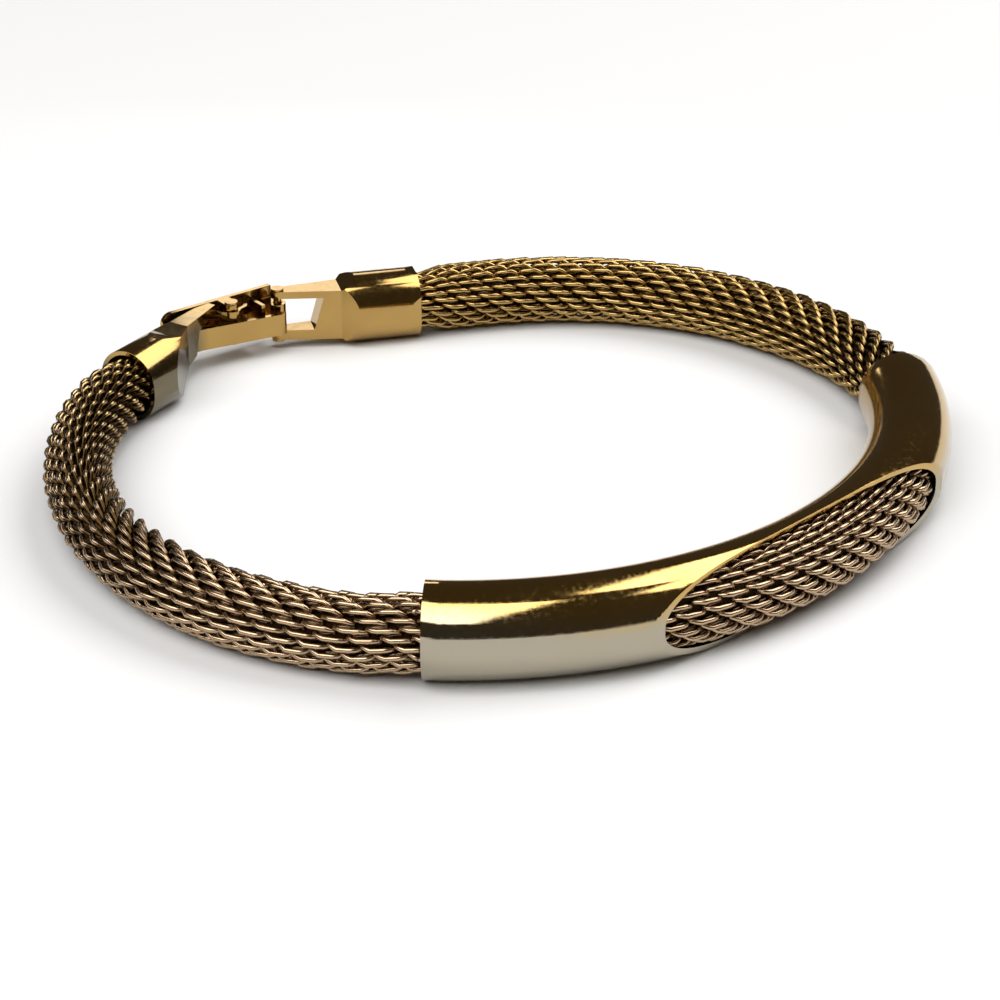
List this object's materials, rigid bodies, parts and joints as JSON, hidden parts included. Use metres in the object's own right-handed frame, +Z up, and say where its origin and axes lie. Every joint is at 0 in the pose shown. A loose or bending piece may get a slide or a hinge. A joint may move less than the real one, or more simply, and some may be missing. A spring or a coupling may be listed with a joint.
{
  "type": "mesh rope bracelet",
  "caption": "Oval loop of woven metal mesh rope that runs through a curved polished tube with a long window, closed by two end caps and a folding lever clasp.",
  "frame": {"origin": "middle of the loop, on the surface that it lies on", "axes": "+Z up, the loop lies flat; the bar is at the front, towards -Y and +X; the clasp is at the back left, towards +Y and -X"},
  "size_m": [0.0668, 0.0636, 0.0066],
  "materials": {
    "mesh": "plated wire, bronze-gold, dark in the gaps",
    "bar": "polished pale gold plate",
    "clasp": "polished gold plate"
  },
  "bodies": {
    "bracelet": {"mesh_rope": "mesh", "bar_tube": "bar", "left_cap": "clasp", "catch_spring": "clasp", "right_cap": "clasp", "hinge_pin": "clasp"},
    "lever": {"cover_lever": "clasp", "catch_pin": "clasp"}
  },
  "joints": [
    {"name": "lever", "type": "hinge", "parent": "bracelet", "child": "lever", "pos_m": [-0.01807, 0.02386, 0.00285], "axis": [0, 0, -1], "range_deg": [0, 70]}
  ]
}
